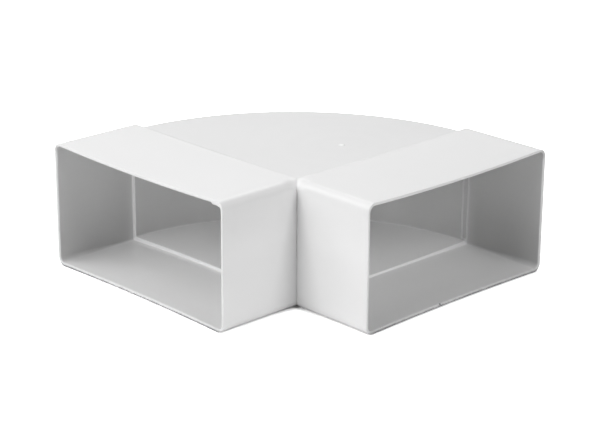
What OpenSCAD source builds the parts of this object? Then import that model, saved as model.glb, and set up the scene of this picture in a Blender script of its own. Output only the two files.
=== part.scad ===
// Horizontal 90 degree elbow for flat plastic ventilation duct, moulded in one piece.
// Two sockets stand at right angles and meet in a sharp upright crease. A quarter-round
// bend joins them behind the crease. It is stepped in all round, outside and inside, so
// that a duct pushed into a socket stops against a ledge, flush with the bend's airway.

/* [Duct] */
// Outside width of the flat duct that the sockets take
duct_w = 110; // [80:1:220]
// Outside height of that duct
duct_h = 55; // [40:1:80]
// Wall of that duct, which sets how far the bend is stepped in
duct_wall = 1.5; // [1:0.1:2.5]

/* [Sockets] */
// Wall of the moulding
wall = 1.5; // [1.2:0.1:3]
// Clearance between duct and socket on each side
fit_gap = 0.4; // [0.2:0.1:0.8]
// Depth of a socket, from its mouth to the ledge
socket_depth = 42.5; // [30:0.5:70]
// Outside radius of the four long edges
edge_r = 4; // [3:0.1:6]

/* [Bowed walls] */
// How far the upper broad wall dips at the middle of a mouth
bow_top = 1.1; // [0.5:0.1:2]
// How far the lower broad wall rises at the middle of a mouth
bow_bottom = 0.9; // [0.5:0.1:2]
// What is left of either bow at the ledge
bow_ledge = 0.2; // [0.1:0.05:0.4]

/* [Bend] */
// How far a socket's outside runs on past its ledge
overrun = 1.8; // [1:0.1:3]
// Length of the slope that steps the outside in
slope = 4.4; // [3:0.1:8]
// Outside radius of the bend's curved edges
bend_edge_r = 3; // [2.2:0.1:4]
// Width of the second ledge on the far wall of one leg
second_ledge = 3.3; // [1:0.1:5]

/* [Gate mark] */
// Distance from the crease, along the socket that has the plain ledge
gate_x = 27; // [20:1:60]
// Distance from the crease, square to that
gate_y = 54; // [20:1:60]
// Radius of the stub that the sprue left
gate_r = 1.4; // [1:0.1:3]
// Height of the stub
gate_h = 0.4; // [0.2:0.1:1]

/* [Flash] */
// Reach of the thick spot in one mouth's ceiling, from the outer face by the crease
flash_w = 7; // [5:0.5:12]
// How far the thick spot hangs below the ceiling
flash_t = 0.8; // [0.4:0.1:1]
// Length of the thick spot along the socket
flash_d = 2.5; // [1:0.5:6]

/* [Hidden] */

// A duct's wall and its clearance together give the ledge, and the outside step is the same
step = duct_wall + fit_gap;
socket_w = duct_w + 2 * (fit_gap + wall);
socket_h = duct_h + 2 * (fit_gap + wall);
inside_r = edge_r - wall;
// The outline is square, and the part's origin is under the middle of it
mid = (socket_w - socket_depth) / 2;
// Nicks and cuts run past a face by this much
past = 10;
// The slope's thin end dives this far under the bend's skin, so that it ends in no sliver
dive = 0.12;
// Thickness of the slices that the slope is hulled between
slice = 0.05;
// The thick spot starts this far behind the rim
rim_gap = 0.2;
// Smoothness of small round edges, of the hulled slope and of the very large bow radii
edge_fn = 64;
slope_fn = 32;
bow_fn = 1440;
bend_fn = 180;

// Rectangle with round corners, its lower left corner at the origin
module rounded_rect(w, h, r, fn = edge_fn) {
    translate([r, 0]) square([w - 2 * r, h]);
    translate([0, r]) square([w, h - 2 * r]);
    for (x = [r, w - r], y = [r, h - r])
        translate([x, y]) circle(r = r, $fn = fn);
}

// Stands a section up so that its width runs along Y and its height along Z, and draws it
// out from x0 to x1
module along_x(x0, x1) {
    translate([x0, 0, 0]) rotate([90, 0, 90]) linear_extrude(x1 - x0) children();
}

// The very large cylinder whose underside is the dip of a broad wall. It leans, so the dip
// fades from bow at the mouth to bow_ledge at the ledge. skin is 0 for the outer face and
// the wall for the inner one. The dip's chord spans the flat between the round edges.
module bow_cylinder(bow, skin) {
    chord = socket_w - 2 * edge_r;
    r = chord * chord / (8 * bow) + bow / 2;
    lean = atan((bow - bow_ledge) / socket_depth);
    translate([0, socket_w / 2, socket_h - bow_ledge])
        rotate([0, lean, 0])
            translate([-past, 0, r])
                rotate([0, 90, 0]) cylinder(r = r + skin, h = socket_depth + 2 * past, $fn = bow_fn);
}

// Both bows of one leg: the dip of the upper wall and the rise of the lower wall
module bows(skin) {
    bow_cylinder(bow_top, skin);
    translate([0, 0, socket_h]) mirror([0, 0, 1]) bow_cylinder(bow_bottom, skin);
}

// The slope behind a socket, from the socket's section down to the bend's
module slope_piece() {
    inset = step + dive;
    hull() {
        along_x(-overrun, -overrun + slice) rounded_rect(socket_w, socket_h, edge_r, slope_fn);
        along_x(-overrun - slope, -overrun - slope + slice)
            translate([0, inset])
                rounded_rect(socket_w - inset, socket_h - 2 * inset, edge_r - 1, slope_fn);
    }
}

// Outside of the leg that opens to +X: the crease is its edge at x = 0, y = 0
module leg_outside() {
    difference() {
        union() {
            along_x(-overrun, socket_depth) rounded_rect(socket_w, socket_h, edge_r);
            slope_piece();
        }
        bows(0);
    }
}

// Space inside that leg, from the ledge out through the mouth
module leg_inside() {
    difference() {
        along_x(0, socket_depth + past)
            translate([wall, wall])
                rounded_rect(socket_w - 2 * wall, socket_h - 2 * wall, inside_r);
        bows(wall);
    }
}

// The leg that opens to -Y is the mirror image of the one that opens to +X
module both_legs() {
    children();
    mirror([1, 1, 0]) children();
}

// Quarter turn about the crease of a section that reaches from radius r0 to r1
module quarter_turn(r0, r1, inset, r) {
    rotate([0, 0, 90])
        rotate_extrude(angle = 90, $fn = bend_fn)
            translate([r0, inset]) rounded_rect(r1 - r0, socket_h - 2 * inset, r);
}

// Outside of the bend. It starts clear of the crease, whose corner the two slopes fill.
module bend_outside() {
    quarter_turn(edge_r / 2, socket_w - step, step, min(bend_edge_r, edge_r));
}

// Airway through the bend, as wide and as high as the bore of the duct
module bend_inside() {
    quarter_turn(step + wall, socket_w - step - wall, step + wall, bend_edge_r - wall);
}

// On the far wall of the leg that opens to +X the ledge comes in two halves, one behind
// the other
module second_ledge_cut() {
    half = step / 2;
    inset = step + bend_edge_r;
    translate([-second_ledge, socket_w - wall - half - past, inset])
        cube([second_ledge + slice, past, socket_h - 2 * inset]);
}

// Stub of the sprue on top of the bend
module gate_mark() {
    translate([-gate_x, gate_y, socket_h - step - wall / 2])
        cylinder(r = gate_r, h = wall / 2 + gate_h, $fn = edge_fn);
}

// Thick spot in a mouth's ceiling, in the corner by the crease, where the mould's edge is
// worn. Its root runs into the wall, clear of the round outer edge.
module corner_flash() {
    y0 = edge_r / 2;
    translate([socket_depth - rim_gap - flash_d, y0, socket_h - wall - flash_t])
        cube([flash_d, flash_w - y0, flash_t + 0.4 * wall]);
}

module elbow() {
    color("white")
        translate([mid, -mid, 0]) {
            difference() {
                union() {
                    both_legs() leg_outside();
                    bend_outside();
                    gate_mark();
                }
                both_legs() leg_inside();
                bend_inside();
                second_ledge_cut();
            }
            mirror([1, 1, 0]) corner_flash();
        }
}

elbow();
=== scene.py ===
import math

import bmesh
import bpy
import numpy as np
from mathutils import Matrix, Vector


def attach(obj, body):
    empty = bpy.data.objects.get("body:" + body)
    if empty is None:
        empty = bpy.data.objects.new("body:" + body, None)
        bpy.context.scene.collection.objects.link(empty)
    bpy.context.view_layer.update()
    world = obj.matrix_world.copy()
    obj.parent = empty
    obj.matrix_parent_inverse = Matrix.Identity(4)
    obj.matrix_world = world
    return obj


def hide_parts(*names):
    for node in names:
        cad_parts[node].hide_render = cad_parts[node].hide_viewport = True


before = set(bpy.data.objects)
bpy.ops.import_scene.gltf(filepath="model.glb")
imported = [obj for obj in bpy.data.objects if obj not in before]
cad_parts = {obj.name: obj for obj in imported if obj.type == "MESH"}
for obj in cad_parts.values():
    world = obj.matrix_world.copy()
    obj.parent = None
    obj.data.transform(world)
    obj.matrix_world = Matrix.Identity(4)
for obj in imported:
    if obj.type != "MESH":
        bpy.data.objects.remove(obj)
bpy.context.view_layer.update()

# The view: a long lens a little under a metre away looks straight at the upright crease between
# the two sockets, from a little above, so that both mouths open towards it.
view_at = Vector((0.59919, -0.57722, 0.32137))
view_turn = math.radians(46.04)
view_fall = math.radians(19.83)
view_roll = math.radians(0.384)
lens_pixels, frame_pixels = 1942.5, 600  # focal length and the frame's width, both in pixels
camera = bpy.data.objects.new("camera", bpy.data.cameras.new("camera"))
camera.data.sensor_width = 36.0
camera.data.lens = lens_pixels / frame_pixels * camera.data.sensor_width
camera.data.clip_start = 0.05
camera.data.clip_end = 20.0
camera.matrix_world = (
    Matrix.Translation(view_at)
    @ Matrix.Rotation(view_turn, 4, "Z")
    @ Matrix.Rotation(math.pi / 2 - view_fall, 4, "X")
    @ Matrix.Rotation(view_roll, 4, "Z")
)
bpy.context.collection.objects.link(camera)
bpy.context.scene.camera = camera
bpy.context.scene.view_settings.view_transform = "Standard"

# The elbow's shell: one injection moulding in white plastic, two sockets and a round bend that
# is stepped in all round. Its skin is one closed band of rows, along the outside, over a rim,
# back through the inside and over the other rim, worked out in millimetres from the crease.
crease_at = np.array([35.65, -35.65, 0.0])
width, height, depth = 113.8, 58.8, 42.5  # of a socket, outside
wall, step = 1.5, 1.9  # thickness, and how far the bend is stepped in
edge_r, bend_edge_r = 4.0, 3.0  # long outer edges of a socket and of the bend
foot_r, airway_r = 0.9, 0.7  # inner corners at the foot of the ledge and in the airway
overrun, slope = 1.8, 4.4  # where the outer step starts behind the crease, and its length
band = 7.0  # the bend's rows fan out from this far behind the crease
bow_top, bow_floor = 1.1, 0.9  # how far the broad walls bow in at a mouth
outer_bow = (0.8, 0.9)  # and the outer skin's top and floor by the crease
first_bow, second_bow = (0.8, 0.5), (0.8, 1.35)  # and each socket's inside at its ledge
first_floor, second_floor = -0.45, 0.95  # rise of the airway's floor at its two ends
rim_r, lead_r = 0.28, 0.9  # outer edge of a rim, and the lead-in on its inner edge
ledge_at, ledge_r, ledge_foot = 0.8, 0.25, 0.6  # place behind the crease, lip and foot
second_ledge = 3.1  # place of the second half of the ledge on the first leg's far wall
worn_reach, worn_hang, worn_depth = 6.8, 0.78, 2.8  # thick spot in the second mouth's ceiling
groove_reach, groove_deep = 0.7, 0.35  # mould line down the crease
groove_top, groove_fade = 3.4, 2.2  # it fades out from here under the top, over this length
dip_reach, dip_deep, dip_fade = 6.0, 1.0, 9.0  # the tops sink by the crease's upper end
crisp = 0.12  # a second row this close behind a rim's round keeps the round crisp

# Where the columns of a section stand: up a side wall, round a corner, and out along a broad
# wall, first in steps near the crease and then in shares of what is left.
side_share = np.concatenate([[0, 0.004, 0.03], np.linspace(0, 1, 10)[1:-1], [0.94, 0.97, 0.996]])
corner_turn = np.linspace(0, np.pi / 2, 9, endpoint=False)
near_steps = np.array([0, 0.4, 0.8, 1.2, 1.6, 2.0, 2.5, 2.75, 3.0, 3.25, 4.0, 5.2, 7.0, 9.5])
broad_share = np.linspace(0, 1, 35)[1:-1]


def ease(x):
    """Goes from 0 to 1 with no corner: 3 x squared less 2 x cubed, x held between 0 and 1."""
    x = np.clip(x, 0, 1)
    return x * x * (3 - 2 * x)


def across(near, far, low, high, rn, rf):
    """Section of the duct as (t, z): a rectangle with round corners of radius rn on the crease's
    side and rf on the far side. It runs up the near wall, out along the top, down the far wall
    and back along the floor. Every argument is a column with one number for each row."""
    start = near + rn + near_steps
    top = np.concatenate([start, start[:, -1:] + (far - rf - start[:, -1:]) * broad_share], 1)
    back = np.concatenate([far - rf, top[:, :0:-1]], 1)
    t = [
        near + 0 * side_share,
        near + rn * (1 - np.cos(corner_turn)),
        top,
        far - rf + rf * np.sin(corner_turn),
        far + 0 * side_share,
        far - rf + rf * np.cos(corner_turn),
        back,
        near + rn - rn * np.sin(corner_turn),
    ]
    z = [
        low + rn + (high - low - 2 * rn) * side_share,
        high - rn + rn * np.sin(corner_turn),
        high + 0 * top,
        high - rf + rf * np.cos(corner_turn),
        high - rf - (high - low - 2 * rf) * side_share,
        low + rf - rf * np.sin(corner_turn),
        low + 0 * top,
        low + rn - rn * np.cos(corner_turn),
    ]
    return np.concatenate(t, 1), np.concatenate(z, 1)


# The columns of a section's far wall.
before_far = len(side_share) + 2 * len(corner_turn) + len(near_steps) + len(broad_share)
far_wall = slice(before_far + 1, before_far + len(side_share))


def arch(t):
    """Shape of a bow across a broad wall: a parabola that is 1 in the middle and 0 where the
    round edges start."""
    return np.clip(1 - ((t - width / 2) / (width / 2 - edge_r)) ** 2, 0, 1)


def bowed(z, t, x, ledge_bow):
    """Heights with the broad walls bowed in. The upper half of a section comes down and the
    lower half up, by the arch times the mouth's bow at the mouth and ledge_bow at the ledge.
    Behind the crease the bow fades out over the depth of the band."""
    share = np.clip(z / height, 0, 1)
    along = np.clip(x / depth, 0, 1)
    fade = 1 - ease(-x / band)
    down = (ledge_bow[0] + (bow_top - ledge_bow[0]) * along) * ease(share * 4 - 3)
    up = (ledge_bow[1] + (bow_floor - ledge_bow[1]) * along) * ease(1 - share * 4)
    return z + arch(t) * fade * (up - down)


def on_other_leg(p):
    """The same rows on the other leg: x and y change places and signs."""
    return np.stack([-p[..., 1], -p[..., 0], p[..., 2]], -1)


def leg_rows(x, o, ledge_bow):
    """Rows of a socket, x in front of the crease and o under the outer skin: the outer section
    shrunk by o on every side. The inner corners tighten from the mouth to the ledge."""
    x, o = np.atleast_1d(x)[:, None].astype(float), np.atleast_1d(o)[:, None].astype(float)
    inner_r = foot_r + (edge_r - wall - foot_r) * ease(x / depth)
    r = np.where(o < wall, edge_r - o, inner_r)
    r = np.where(o > wall, foot_r + (airway_r - foot_r) * (o - wall) / step, r)
    t, z = across(o, width - o, o, height - o, r, r)
    seated = bowed(z, t, np.maximum(x, 0), ledge_bow)
    rise = np.clip((o - wall) / step, 0, 1)
    return np.stack([x + 0 * t, t, z + (seated - z) * (1 - rise)], 2)


def fan_out(t, start, far, turn):
    """Plan of rows that fan out behind the crease. Up to start a point lies on the diagonal, at
    (-t, t). Past it the row runs at its angle from there to a circle of radius far about the
    crease, whose distance along the row follows from the cosine rule."""
    dx, dy = -np.sin(turn), np.cos(turn)
    along = start * (dy - dx)
    reach = np.sqrt(along**2 + far**2 - 2 * start**2) - along
    on_diagonal = np.minimum(t, start)
    p = np.clip((t - start) / (t.max(1, keepdims=True) - start), 0, 1) * reach
    return -on_diagonal + p * dx, on_diagonal + p * dy


def crease_line(rows):
    """The crease as it is moulded. Near its upright line, at distance rho, the skin is drawn in
    along the diagonal by a V that is deepest on the line and ends below the round top edge, and
    the tops sink by a soft dip over a wider reach."""
    rho = np.hypot(rows[..., 0], rows[..., 1])
    z = rows[..., 2]
    below = 1 - ease((z - height + groove_top) / groove_fade)
    inward = groove_deep * np.clip(1 - rho / groove_reach, 0, 1) * below
    dip = dip_deep * ease(1 - rho / dip_reach) * ease((z - height + dip_fade) / dip_fade)
    return rows + np.stack([-inward / math.sqrt(2), inward / math.sqrt(2), -dip], -1)


def skin_outside():
    """Outer skin from the first mouth to the second. A leg's rows are square to it. Over the
    slope a row d behind the crease follows the diagonal as far as d and then runs square, which
    is P = (-min(d, t), t). The bend's rows fan out from the slope's foot to the bend's back."""
    by_rim = [depth - rim_r, depth - rim_r - crisp]
    by_crease = [6, 5, 4.2, 3.4, 2.7, 2.1, 1.6, 1.2, 0.85, 0.64, 0.42, 0.2, 0]
    x = np.concatenate([by_rim, np.linspace(depth - 1.6, 8.5, 12), by_crease])
    leg = leg_rows(x, 0 * x, outer_bow)

    d = np.concatenate([[0.4, 0.8, 1.2], np.linspace(1.6, band, 15)])[:, None]
    sunk = ease((d - overrun) / slope)
    far = width - (width - np.sqrt((width - step) ** 2 - d**2)) * sunk
    far_r = edge_r + (bend_edge_r - edge_r) * sunk
    t, z = across(0 * d, far, 0 * d, height + 0 * d, edge_r + 0 * d, far_r)
    deep = np.minimum(d, t)
    z = bowed(z, t, -deep, outer_bow)
    z = z + (1 - 2 * z / height) * step * ease((deep - overrun) / slope)
    slopes = np.stack([-deep, t, z], 2)

    turn = np.radians(np.linspace(0, 90, 65))[1:-1, None]
    one = 0 * turn
    t, z = across(one, width + one, one, height + one, edge_r + one, bend_edge_r + one)
    deep = np.minimum(t, band)
    z = bowed(z, t, -deep, outer_bow)
    z = z + (1 - 2 * z / height) * step * ease((deep - overrun) / slope)
    px, py = fan_out(t, band, width - step, turn)
    bend = np.stack([px, py, z], 2)
    half = np.concatenate([leg, slopes])
    return crease_line(np.concatenate([half, bend, on_other_leg(half[::-1])]))


def skin_inside():
    """Inner skin, from the second mouth back to the first: socket, ledge, airway, ledge, socket.
    A ledge is a flat ring with a small round at its foot and its lip. The airway fans out from
    just behind the ledges to a circle about the crease. On the first leg's far wall the ledge
    comes in two halves, the second one second_ledge behind the crease. Also gives each row's
    share of being a ledge's face."""
    q = np.linspace(0, np.pi / 2, 5)
    by_rim = [depth - lead_r, depth - lead_r - crisp]
    by_worn = [depth - worn_depth + 0.05, depth - worn_depth - 0.15]
    x = [by_rim, np.linspace(depth - 1.2, depth - 2.6, 4), by_worn]
    x = np.concatenate([*x, np.linspace(depth - 5, 1.5, 12), [0.4]])
    foot_o = wall + ledge_foot * (1 - np.cos(q))
    lip_o = wall + step - ledge_r * (1 - np.sin(q))
    face_o = np.linspace(foot_o[-1], lip_o[0], 6)[1:-1]
    foot_x, lip_x = ledge_foot * (1 - np.sin(q)), -ledge_r * (1 - np.cos(q))
    ring_x = np.concatenate([foot_x, 0 * face_o, lip_x]) - ledge_at
    ring_o = np.concatenate([foot_o, face_o, lip_o])
    run, under = np.concatenate([x, ring_x]), np.concatenate([0 * x + wall, ring_o])
    first = leg_rows(run, under, first_bow)
    second = leg_rows(run, under, second_bow)
    half_ledge = width - wall - step / 2
    first[:, far_wall, 1] = np.maximum(first[:, far_wall, 1], half_ledge)

    turn = np.radians(np.linspace(0, 90, 61)[1:-1])
    start = ledge_at + ledge_r
    cut = math.asin((second_ledge - start) / width)
    turn = np.sort(np.concatenate([turn, [0.003, cut - 0.0012, cut + 0.0012]]))[:, None]
    one = 0 * turn
    inset, r = wall + step, airway_r + one
    t, z = across(inset + one, width - inset + one, inset + one, height - inset + one, r, r)
    px, py = fan_out(t, start, width - inset, turn)
    recess = np.zeros(t.shape)
    recess[:, far_wall] = (turn < cut) * step / 2
    bend = np.stack([px - np.sin(turn) * recess, py + np.cos(turn) * recess, z], 2)
    share = turn / (np.pi / 2)
    lift = arch(t) * ease(1 - z / height * 4)
    bend[..., 2] += lift * (first_floor * (1 - share) + second_floor * share)
    for leg, much in ((first, first_floor), (second, second_floor)):
        rise = np.clip((under - wall) / step, 0, 1)[:, None]
        leg[..., 2] += much * rise * arch(leg[..., 1]) * ease(1 - leg[..., 2] / height * 4)
    number = np.arange(len(ring_x))
    face = np.concatenate([0 * x, np.clip(np.minimum(number, number[::-1]) / 3, 0, 1)])
    inside = np.concatenate([worn_corner(on_other_leg(second)), bend[::-1], first[::-1]])
    return inside, np.concatenate([face, np.zeros(len(bend)), face[::-1]])


def rim():
    """Rim of a mouth, from the outer skin over to the inner one: a quarter round of radius rim_r,
    a flat, and a quarter round of radius lead_r, carried round the socket's section."""
    q, p = np.linspace(0, np.pi / 2, 5)[1:], np.linspace(0, np.pi / 2, 9)[1:-1]
    flat = np.linspace(rim_r, wall - lead_r, 4)[1:]
    o = np.concatenate([rim_r * (1 - np.cos(q)), flat, wall - lead_r * (1 - np.sin(p))])
    back = np.concatenate([rim_r * (1 - np.sin(q)), 0 * flat, lead_r * (1 - np.cos(p))])
    return leg_rows(depth - back, o, outer_bow)


def worn_corner(rows):
    """The thick spot in the second mouth's ceiling, in the corner by the crease: the ceiling
    hangs down by worn_hang within worn_reach of the socket's near side, and not at all on the
    outer skin. Elsewhere, and where the round corner is lower anyway, nothing changes."""
    x, t, z = -rows[..., 1], -rows[..., 0], rows[..., 2]
    under = np.clip(height - z, 0, wall)
    across_it = ease((worn_reach + 0.5 - t) / 0.9)
    hang = worn_hang * across_it * ease((x - depth + worn_depth + 0.2) / 0.3)
    lowered = np.minimum(z, height - under - hang * ease(under / wall))
    return np.stack([rows[..., 0], rows[..., 1], np.where(z > height / 2, lowered, z)], -1)


def close_band(rows):
    """Faces of a band of rows that is closed both along a row and from the last row to the
    first, as the numbers of their four corners."""
    nv, nu = rows.shape[:2]
    grid = np.arange(nv * nu).reshape(nv, nu)
    below, beside = np.roll(grid, -1, 0), np.roll(grid, -1, 1)
    return np.stack([grid, beside, np.roll(below, -1, 1), below], -1).reshape(-1, 4)


outside, (inside, on_ledge), over_rim = skin_outside(), skin_inside(), rim()
rows = np.concatenate([outside, worn_corner(on_other_leg(over_rim)), inside, over_rim[::-1]])
nv, nu = rows.shape[:2]
mesh = bpy.data.meshes.new("elbow_shell")
points = (rows.reshape(-1, 3) + crease_at) / 1000
mesh.from_pydata(points.tolist(), [], close_band(rows).tolist())

# Two marks for the material. "within" is 0 outside, climbs over a rim to 1 inside and is 2 on a
# ledge's face. "on_floor" is 1 on a section's floor and 0 on its top and sides.
across_rim = np.linspace(0, 1, len(over_rim) + 2)[1:-1]
within = np.concatenate([np.zeros(len(outside)), across_rim, 1 + on_ledge, across_rim[::-1]])
ramp = np.linspace(0, 1, len(corner_turn))
flat_floor = np.ones(len(near_steps) + len(broad_share))
on_floor = np.concatenate([np.zeros(far_wall.stop), ramp, flat_floor, ramp[::-1]])
for name, value in (("within", np.repeat(within, nu)), ("on_floor", np.tile(on_floor, nv))):
    layer = mesh.attributes.new(name, "FLOAT", "POINT")
    layer.data.foreach_set("value", value.astype(np.float32))

# The map "unrolled" lays the band flat, in metres along it and round it.
step_along = np.linalg.norm(np.roll(rows, -1, 0) - rows, axis=2).mean(1) / 1000
step_round = np.linalg.norm(np.roll(rows, -1, 1) - rows, axis=2).mean(0) / 1000
along, round_it = np.append(0, np.cumsum(step_along)), np.append(0, np.cumsum(step_round))
i, j = np.divmod(np.arange(nv * nu), nu)
corners = ((i, j), (i, j + 1), (i + 1, j + 1), (i + 1, j))
flat_map = np.stack([[along[a], round_it[b]] for a, b in corners]).transpose(2, 0, 1)
mesh.uv_layers.new(name="unrolled").data.foreach_set("uv", flat_map.ravel())

shell = bpy.data.objects.new("elbow_shell", mesh)
bpy.context.collection.objects.link(shell)
bm = bmesh.new()
bm.from_mesh(mesh)
bmesh.ops.remove_doubles(bm, verts=bm.verts, dist=2e-6)
bm.to_mesh(mesh)
bm.free()
mesh.polygons.foreach_set("use_smooth", np.ones(len(mesh.polygons), bool))
mesh.set_sharp_from_angle(angle=math.radians(40))
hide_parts("elbow")
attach(shell, "root")

# The white plastic: a glossy, opaque moulding compound. The outside has a satin skin from the
# cavity, with faint rings where the melt ran out from the gate. The inside is shinier, with fine
# lines along each socket where the core was drawn out.


class Signal:
    """A socket of a node tree. Sums, differences, products and quotients of signals and plain
    numbers add Math nodes. node() adds any other node: its settings are set first, then the
    values or links of its sockets."""

    def __init__(self, tree, socket=None):
        self.tree, self.socket = tree, socket

    def node(self, kind, settings, inputs, output=0):
        made = self.tree.nodes.new(kind)
        for name, value in settings.items():
            setattr(made, name, value)
        for name, value in inputs.items():
            if isinstance(value, Signal):
                self.tree.links.new(value.socket, made.inputs[name])
            else:
                made.inputs[name].default_value = value
        return Signal(self.tree, made.outputs[output]) if made.outputs else made

    def math(self, operation, *values):
        return self.node("ShaderNodeMath", {"operation": operation}, dict(enumerate(values)))

    def smooth(self, start, end):
        """Rises from 0 where the signal is start to 1 where it is end, with no corner."""
        ends = {"Value": self, "From Min": start, "From Max": end}
        return self.node("ShaderNodeMapRange", {"interpolation_type": "SMOOTHSTEP"}, ends)

    def noise(self, scale, detail=2.0, rough=0.5):
        sizes = {"Vector": self, "Scale": scale, "Detail": detail, "Roughness": rough}
        return self.node("ShaderNodeTexNoise", {}, sizes)

    def times(self, x, y, z):
        scaled = {0: self, 1: (x, y, z)}
        return self.node("ShaderNodeVectorMath", {"operation": "MULTIPLY"}, scaled)

    def apart(self, x, y, z):
        """Distance from the point (x, y, z)."""
        ends = {0: self, 1: (x, y, z)}
        return self.node("ShaderNodeVectorMath", {"operation": "DISTANCE"}, ends, "Value")

    def __add__(self, other):
        return self.math("ADD", self, other)

    def __sub__(self, other):
        return self.math("SUBTRACT", self, other)

    def __rsub__(self, other):
        return self.math("SUBTRACT", other, self)

    def __mul__(self, other):
        return self.math("MULTIPLY", self, other)

    def __truediv__(self, other):
        return self.math("DIVIDE", self, other)

    def __rtruediv__(self, other):
        return self.math("DIVIDE", other, self)

    __radd__, __rmul__ = __add__, __mul__


white = bpy.data.materials.new("white moulded plastic")
white.use_nodes = True
white.node_tree.nodes.clear()
nodes = Signal(white.node_tree)
place = nodes.node("ShaderNodeTexCoord", {}, {}, "Object")
unrolled = nodes.node("ShaderNodeUVMap", {"uv_map": "unrolled"}, {})
within = nodes.node("ShaderNodeAttribute", {"attribute_name": "within"}, {}, "Fac")
low = nodes.node("ShaderNodeAttribute", {"attribute_name": "on_floor"}, {}, "Fac")
facing = nodes.node("ShaderNodeNewGeometry", {}, {}, "Normal")
x, y, z = (nodes.node("ShaderNodeSeparateXYZ", {}, {0: place}, axis) for axis in "XYZ")

# Where on the elbow a point is: which skin, how far behind the crease, and how far from the
# crease's upright line and from the gate.
outer = nodes.math("MAXIMUM", 1 - within, 0)
inner = within.smooth(0.7, 1.0)
ledge = within.smooth(1.2, 1.8)
on_rim = within.smooth(0.02, 0.12) * (1 - within.smooth(0.85, 1.0))
on_lip = low.smooth(0.5, 0.9) * within.smooth(0.01, 0.08) * (1 - within.smooth(0.45, 0.80))
not_under = nodes.node("ShaderNodeSeparateXYZ", {}, {0: facing}, "Z").smooth(-0.98, -0.90)
crease_x, crease_y = (crease_at[:2] / 1000).tolist()
behind = nodes.math("MINIMUM", crease_x - x, y - crease_y)
bend = behind.smooth(0.0005, 0.0048)
on_leg = 1 - behind.smooth(-0.006, 0.004)
from_crease = place.times(1, 1, 0).apart(crease_x, crease_y, 0)
gate_at = np.array([-27.0, 53.8, height - step])
gate_x, gate_y = ((gate_at + crease_at)[:2] / 1000).tolist()
from_gate = place.times(1, 1, 0).apart(gate_x, gate_y, 0)

# The grain of the skin, with noise scales per metre: clouds, patches and specks, rings about the
# gate, lines drawn by the cores, and a mottle for the painted shadow on the lower lips.
clouds = place.noise(28, 3) - 0.5
patches = place.noise(9, 1) - 0.5
specks = place.noise(1400, 1) - 0.5
rings = nodes.math("SINE", from_gate * 520 + clouds * 9)
rings = rings * (1 - from_gate.smooth(0.01, 0.07)) * outer
drawn = (unrolled.times(9, 900, 1).noise(1, 2) - 0.5) * inner
lip_mottle = place.noise(480, 3, 0.7).smooth(0.40, 0.62)

# Painted light and shade on the outside: the upright walls painted lighter at their foot, for the
# paper's bounce, and darker at their head; the bend and the tops' far side painted darker; a
# painted wedge of shade along the crease; a painted contact shadow as a line at the foot; and the
# round edge over the first leg painted darker to dim its highlight.
painted_light_at_foot = 1 - z.smooth(0.004, 0.030)
painted_shade_at_head = z.smooth(0.034, 0.048) * (1 - z.smooth(0.0545, 0.0575))
painted_shade_far_top = z.smooth(0.050, 0.056) * (x + y).smooth(0.0, 0.13)
painted_outside_tone = 0.035 * painted_light_at_foot - 0.035 * painted_shade_at_head - 0.055 * bend - 0.030 * painted_shade_far_top
reach = nodes.math("MAXIMUM", 0.0195 - 0.30 * z, 0.003)
painted_crease_shade = (1 - (from_crease / reach).smooth(0.0, 1.0)) * (1 - z.smooth(0.050, 0.056))
painted_contact_line = 1 - z.smooth(0.0006, 0.0020)
by_near_side = (1 - y.smooth(-0.0332, -0.0306)) * x.smooth(0.0345, 0.0365)
painted_dim_edge = z.smooth(0.0548, 0.0565) * by_near_side
# Painted shade: the wedge along the crease, the contact shadow at the foot, and a darkening of the
# first leg's round top edge that dims its highlight.
painted_outside_tone = painted_outside_tone - (0.16 * painted_crease_shade + 0.55 * painted_contact_line) * not_under
painted_outside_tone = painted_outside_tone - 0.045 * painted_dim_edge

# Painted light and shade inside: the walls are painted darker, more so towards the floor and in
# the airway's far part, and the floors and the ledges' faces are painted lighter, for the light
# that comes in by the mouths.
foot = 1 - z.smooth(0.004, 0.040)
painted_wall_shade = 0.108 + 0.066 * y.smooth(0.02, 0.07) + (0.035 + 0.10 * foot) * on_leg
painted_floor_light = (0.040 + 0.050 * x.smooth(0.030, 0.060)) * low
painted_ledge_light = (0.125 - 0.075 * y.smooth(-0.034, -0.030)) * ledge
painted_inside_tone = painted_floor_light - painted_wall_shade * (1 - low) + painted_ledge_light

# Marks and painted shade: the torn gate is whitened, partly as a painted glint; the rims are
# painted darker, and darker still about two corners; the lower lips get a painted contact shadow,
# broken up by a mottle; and one of them has a dark speck.
# Whitened where the gate tore, which also paints in a glint on the stub.
whitened_with_glint = (1 - from_gate.smooth(0.0010, 0.0016)) * z.smooth(0.055, 0.056)
darker_rim_corners = 1 - place.apart(0.07815, 0.07565, 0.0560).smooth(0.0006, 0.0036)
darker_rim_corners = darker_rim_corners + 0.8 * (1 - place.apart(-0.0762, -0.07815, 0.0560).smooth(0.0004, 0.0024))
speck = 1 - place.apart(0.0778, 0.01035, 0.0022).smooth(0.0003, 0.0008)
# Painted: a glint in the gate's whitening, a contact shadow on the lower lips and shade on the
# rims.
marks_and_painted_light = 0.08 * whitened_with_glint - on_lip * (0.10 + 0.26 * lip_mottle) - 0.55 * speck
marks_and_painted_light = marks_and_painted_light - (0.05 + 0.24 * darker_rim_corners * (0.7 + 1.2 * clouds)) * on_rim

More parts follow.
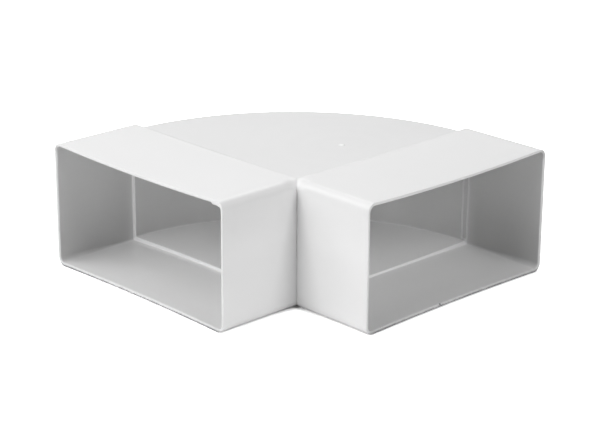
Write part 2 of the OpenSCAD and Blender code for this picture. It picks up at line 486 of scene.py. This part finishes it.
plain, dark, light = 0.85, 0.20, 0.94  # grey of the outside, and the two ends of the mix
grain = 0.030 * patches + 0.024 * clouds + 0.012 * specks + 0.003 * rings + 0.010 * drawn
shade = plain + painted_outside_tone * outer + painted_inside_tone * inner + grain + marks_and_painted_light
greys = {0: (shade - dark) / (light - dark), 6: (dark, dark, dark, 1), 7: (light, light, light, 1)}
colour = nodes.node("ShaderNodeMix", {"data_type": "RGBA"}, greys, 2)
rough = 0.38 - 0.24 * inner + 0.05 * clouds + 0.04 * (patches + specks)
rough = rough + 0.004 * rings + 0.06 * drawn
relief = place.noise(40, 1) * 0.6 + place.noise(2600, 2) * 0.012 + drawn * 0.02
bumps = {"Strength": 0.5, "Distance": 0.0001, "Height": relief}
bump = nodes.node("ShaderNodeBump", {}, bumps)
skin = {"Base Color": colour, "Roughness": rough, "Normal": bump, "IOR": 1.5}
plastic = nodes.node("ShaderNodeBsdfPrincipled", {}, skin)
nodes.node("ShaderNodeOutputMaterial", {}, {"Surface": plastic})
shell.data.materials.append(white)

# The gate stub: what is left on top of the bend where the sprue was snapped off, a low, uneven
# button of the same plastic, whitened where it tore, a whiteness that also paints in a glint.
gate_r, gate_h = 1.35, 0.45


def white_piece(name, points, quads, fans):
    """Makes one of the elbow's small pieces in the same plastic from an array of points, in
    millimetres from the crease, and the corner numbers of its four- and three-sided faces."""
    made = bpy.data.meshes.new(name)
    made.from_pydata(((points + crease_at) / 1000).tolist(), [], quads.tolist() + fans.tolist())
    made.polygons.foreach_set("use_smooth", np.ones(len(made.polygons), bool))
    made.set_sharp_from_angle(angle=math.radians(50))
    made.materials.append(white)
    piece = bpy.data.objects.new(name, made)
    bpy.context.collection.objects.link(piece)
    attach(piece, "root")


def capped(rings, first, last):
    """Points and faces of a tube of rings, each an array of points round it, closed at both
    ends by a fan to a single point."""
    n, m = rings.shape[:2]
    grid = np.arange(n * m).reshape(n, m)
    beside = np.roll(grid, -1, 1)
    sides = np.stack([grid[:-1], beside[:-1], beside[1:], grid[1:]], -1).reshape(-1, 4)
    start_fan = np.stack([np.full(m, n * m), beside[0], grid[0]], -1)
    end_fan = np.stack([np.full(m, n * m + 1), grid[-1], beside[-1]], -1)
    points = np.concatenate([rings.reshape(-1, 3), [first], [last]])
    return points, sides, np.concatenate([start_fan, end_fan])


# Rings of the button, from its crown out and down into the bend: each one's radius in shares of
# gate_r and its lift in shares of gate_h, both torn a little out of round by sines of the angle.
angle = np.linspace(0, 2 * np.pi, 40, endpoint=False)[None, :]
radius = np.array([0.30, 0.60, 0.80, 0.92, 1.00, 1.08, 1.25])[:, None] * gate_r
lift = np.array([0.97, 0.86, 0.66, 0.44, 0.22, 0.02, -0.35])[:, None] * gate_h
lift = lift + 0.05 * np.sin(2 * angle + 0.6) * (radius < gate_r)
torn = radius * (1 + 0.05 * np.sin(3 * angle + 1) + 0.03 * np.sin(7 * angle))
gate = np.stack([torn * np.cos(angle), torn * np.sin(angle), lift], -1)
points, quads, fans = capped(gate, [0, 0, gate_h], [0, 0, -0.35 * gate_h])
white_piece("gate_stub", points + gate_at, quads[:, ::-1], fans[:, ::-1])

# Flash: a thin, torn thread of plastic along the inner edge of a mouth's lower lip, where the
# core met the cavity. There are two stretches of it in the first mouth and one in the second.
# Each row is a piece: its stretch along the lip, its thickest radius, a seed and its leg.
thread_r, hair_r = 0.04, 0.004  # of a thin stretch and of a thread's very end
thread_back, thread_sink = 0.55, 0.07  # behind the mouth, and into the lip
threads = (
    ("flash_x_near", 6.5, 24, 0.36, 0.4, 0),
    ("flash_x_middle", 38, 62, 0.34, 1.9, 0),
    ("flash_y_far", 88, 106, 0.2, 3.1, 1),
)


def flash(t, much, seed):
    """A thread along the lower lip of the first mouth. Its radius is a sum of sines of the place
    along the lip, held above a hair's width, and its centre lies on the lip's inner edge."""
    waves = np.sin(2.1 * t + seed) + np.sin(3.7 * t + 2 * seed)
    waves = waves + np.sin(6.3 * t) + np.sin(11.9 * t + seed)
    ends = ease(np.minimum(t - t[0], t[-1] - t) / 1.5)
    r = ends * (thread_r + much * np.clip(waves / 2.2, 0, 1)) + hair_r
    rise = wall - thread_sink + 0.97 * bow_floor * arch(t)
    turn = np.linspace(0, 2 * np.pi, 8, endpoint=False)
    ring = np.stack([np.sin(turn), 0 * turn, np.cos(turn)], -1)
    middle = np.stack([depth - thread_back + 0 * t, t, rise], -1)
    rings = middle[:, None] + r[:, None, None] * ring[None]
    return capped(rings, middle[0], middle[-1])


for name, begin, end, much, seed, other in threads:
    places = np.linspace(begin, end, int((end - begin) * 5))
    points, quads, fans = flash(places, much, seed)
    if other:
        points, quads, fans = on_other_leg(points), quads[:, ::-1], fans[:, ::-1]
    white_piece(name, points, quads, fans)

# The stage: a wide sheet of white paper that runs past every side of the picture. The camera
# sees it washed out to white, apart from the thin shadow where the fitting touches it, and its
# far end melts into the white room.
half_sheet, under = 3, -1e-4  # in metres, a hair under the fitting
sheet_corners = [(-1, -1), (1, -1), (1, 1), (-1, 1)]
sheet_points = [(half_sheet * a, half_sheet * b, under) for a, b in sheet_corners]
floor_mesh = bpy.data.meshes.new("floor")
floor_mesh.from_pydata(sheet_points, [], [(0, 1, 2, 3)])
floor = bpy.data.objects.new("floor", floor_mesh)
bpy.context.collection.objects.link(floor)
paper = bpy.data.materials.new("white paper")
paper.use_nodes = True
paper.node_tree.nodes.clear()
nodes = Signal(paper.node_tree)
seen = nodes.node("ShaderNodeLightPath", {}, {}, "Is Camera Ray")
level = 0.97 + 1.8 * seen
tint = nodes.node("ShaderNodeCombineXYZ", {}, {0: level, 1: level, 2: level})
sheet = nodes.node("ShaderNodeBsdfDiffuse", {}, {"Color": tint})
far_off = nodes.node("ShaderNodeTexCoord", {}, {}, "Object").apart(0, 0, 0).smooth(0.55, 1.1)
glow = nodes.node("ShaderNodeEmission", {}, {"Color": (1, 1, 1, 1), "Strength": 1})
melted = nodes.node("ShaderNodeMixShader", {}, {0: seen * far_off, 1: sheet, 2: glow})
nodes.node("ShaderNodeOutputMaterial", {}, {"Surface": melted})
floor.data.materials.append(paper)

# The room: white walls, which the camera and the plastic's gloss see as plain white. They add
# very little light of their own.
world = bpy.data.worlds.new("white room")
bpy.context.scene.world = world
world.use_nodes = True
world.node_tree.nodes.clear()
nodes = Signal(world.node_tree)
mirrored = 0
for name in ("Is Camera Ray", "Is Glossy Ray", "Is Transmission Ray"):
    ray = nodes.node("ShaderNodeLightPath", {}, {}, name)
    mirrored = nodes.math("MAXIMUM", mirrored, ray)
white_walls = {"Color": (1, 1, 1, 1), "Strength": 0.03 + 0.97 * mirrored}
room = nodes.node("ShaderNodeBackground", {}, white_walls)
nodes.node("ShaderNodeOutputWorld", {}, {"Surface": room})

# The light: round soft boxes on stands about the table, each 1.3 m away and turned to the
# fitting. Most stand on the two mouths' sides, and two look down from higher up behind.
# Each row is a box's direction and height in degrees, its watts and its width in metres.
lamp_distance, fitting_middle = 1.3, Vector((0, 0, 0.03))
soft_boxes = (
    (270, 12, 1.5, 0.5),
    (0, 32, 5.1, 0.65),
    (30, 32, 1.5, 0.65),
    (210, 32, 3.0, 0.65),
    (240, 32, 2.4, 0.65),
    (270, 32, 4.9, 0.65),
    (135, 56, 4.9, 0.65),
    (225, 56, 2.5, 0.65),
)
for turn, rise, watts, broad in soft_boxes:
    lamp = bpy.data.lights.new(f"soft_box_{turn}_{rise}", "AREA")
    lamp.shape, lamp.size, lamp.energy = "DISK", broad, watts
    stand = bpy.data.objects.new(lamp.name, lamp)
    a, e = math.radians(turn), math.radians(rise)
    way = Vector((math.cos(e) * math.cos(a), math.cos(e) * math.sin(a), math.sin(e)))
    stand.location = lamp_distance * way + fitting_middle
    stand.rotation_euler = (-way).to_track_quat("-Z", "Y").to_euler()
    bpy.context.collection.objects.link(stand)
